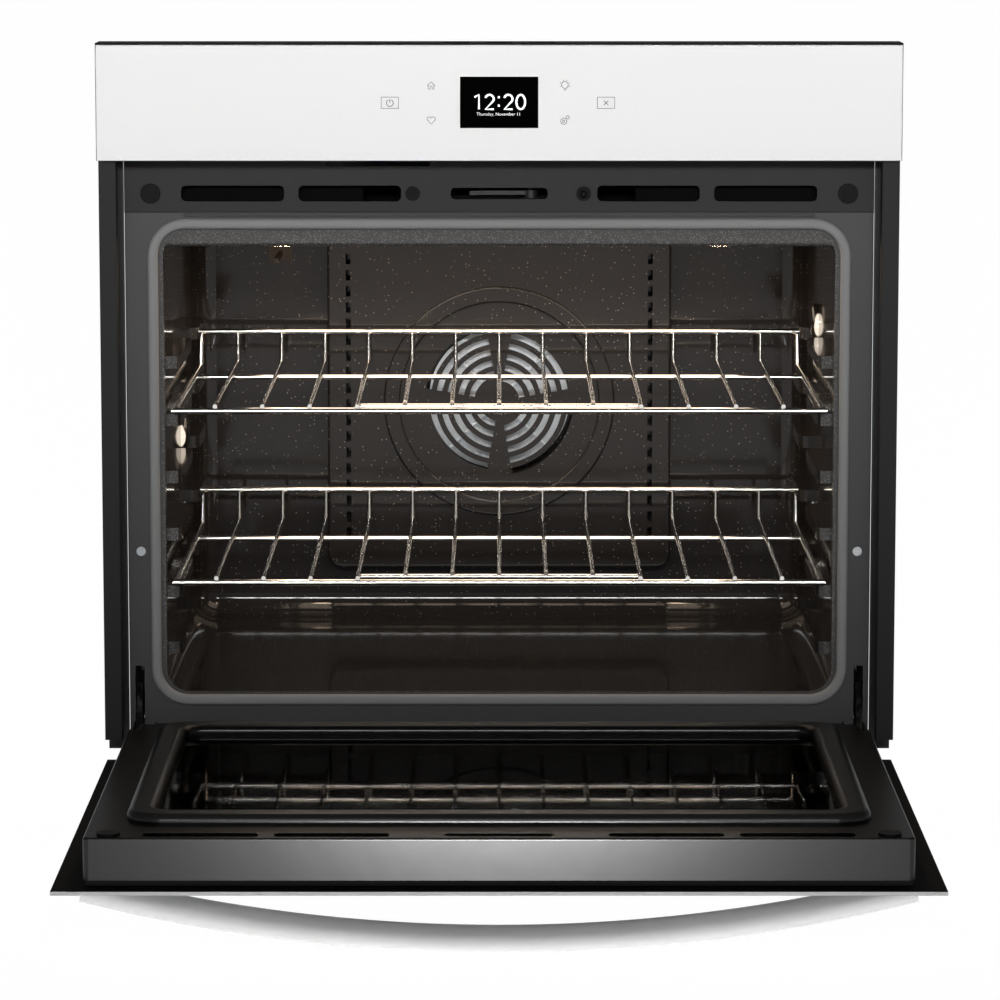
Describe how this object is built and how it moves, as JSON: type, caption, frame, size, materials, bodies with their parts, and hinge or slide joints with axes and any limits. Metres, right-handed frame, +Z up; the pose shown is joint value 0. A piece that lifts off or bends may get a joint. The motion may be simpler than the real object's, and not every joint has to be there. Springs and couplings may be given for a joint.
{
  "type": "wall oven",
  "caption": "Built-in electric wall oven with a glass control fascia, a drop-down glass door, an enamelled cavity, sliding wire racks and a convection fan.",
  "frame": {"origin": "middle of the front edge of the base, on the cabinet face plane", "axes": "+X to the viewer's right, +Y into the wall, +Z up; the door is open at rest"},
  "size_m": [0.756, 1.1398, 0.755],
  "materials": {
    "white_glass": "gloss",
    "black_glass": "gloss",
    "black_plastic": "matte",
    "circuit_board": "satin",
    "dark_paint": "satin",
    "woven_seal": "matte",
    "enamel": "gloss",
    "chrome_wire": "polished",
    "heater_sheath": "satin",
    "clear_glass": "gloss",
    "mineral_fibre": "matte",
    "white_paint": "gloss",
    "motor_paint": "satin",
    "alloy": "satin",
    "zinc_steel": "satin"
  },
  "bodies": {
    "chassis": {"air_deck": "zinc_steel", "back_panel": "zinc_steel", "bake_element": "heater_sheath", "bake_pan": "zinc_steel", "base_pan": "zinc_steel", "blower_housing": "zinc_steel", "blower_motor": "motor_paint", "bottom_trim": "dark_paint", "broil_element": "heater_sheath", "control_board": "circuit_board", "control_glass": "white_glass", "control_housing": "black_plastic", "convection_element": "heater_sheath", "convection_motor": "motor_paint", "display_window": "black_glass", "door_gasket": "woven_seal", "fan_cover": "enamel", "frame_screws": "zinc_steel", "frame_stops": "black_plastic", "front_frame": "dark_paint", "hinge_arms": "zinc_steel", "hinge_receivers": "zinc_steel", "insulation_back": "mineral_fibre", "insulation_floor": "mineral_fibre", "insulation_wrap": "mineral_fibre", "junction_cover": "zinc_steel", "lamp_holders": "zinc_steel", "lamp_lenses": "clear_glass", "lock_plate": "zinc_steel", "mounting_rail_left": "zinc_steel", "mounting_rail_right": "zinc_steel", "oven_cavity": "enamel", "side_panel_left": "zinc_steel", "side_panel_right": "zinc_steel", "side_trim_left": "dark_paint", "side_trim_right": "dark_paint", "switch_body": "black_plastic", "temp_probe": "zinc_steel", "top_panel": "zinc_steel", "vent_trim": "dark_paint"},
    "door": {"door_glass": "white_glass", "door_frame": "zinc_steel", "door_liner": "enamel", "door_inner_pane": "clear_glass", "window_spacer": "zinc_steel", "door_middle_pane": "clear_glass", "window_retainer": "zinc_steel", "handle_bar": "white_paint", "handle_mounts": "white_paint", "hinge_channels": "zinc_steel", "hinge_pins": "zinc_steel", "hinge_cartridges": "zinc_steel", "door_stops": "black_plastic"},
    "lower_rack": {"rack_lower": "chrome_wire"},
    "upper_rack": {"rack_upper": "chrome_wire"},
    "fan": {"convection_fan": "alloy"},
    "blower": {"blower_wheel": "alloy"},
    "lock": {"lock_hook": "zinc_steel"},
    "plunger": {"switch_plunger": "black_plastic"}
  },
  "joints": [
    {"name": "door_hinge", "type": "hinge", "parent": "chassis", "child": "door", "pos_m": [0, -0.024, 0.046], "axis": [1, 0, 0], "range_deg": [-90, 0]},
    {"name": "lower_rack_slide", "type": "slide", "parent": "chassis", "child": "lower_rack", "axis": [0, -1, 0], "range_m": [0, 0.25]},
    {"name": "upper_rack_slide", "type": "slide", "parent": "chassis", "child": "upper_rack", "axis": [0, -1, 0], "range_m": [0, 0.25]},
    {"name": "fan_spin", "type": "hinge", "parent": "chassis", "child": "fan", "pos_m": [0, 0.45, 0.317], "axis": [0, 1, 0], "continuous": true},
    {"name": "blower_spin", "type": "hinge", "parent": "chassis", "child": "blower", "pos_m": [0, 0.495, 0.615], "axis": [1, 0, 0], "continuous": true},
    {"name": "lock_swing", "type": "hinge", "parent": "chassis", "child": "lock", "pos_m": [0.03, 0.02, 0.5655], "axis": [0, 0, 1], "range_deg": [0, 35]},
    {"name": "switch_push", "type": "slide", "parent": "chassis", "child": "plunger", "axis": [0, 1, 0], "range_m": [0, 0.0065]}
  ],
  "couplings": [
    {"joint": "switch_push", "follows": "door_hinge", "m_per_rad": -0.0041}
  ]
}
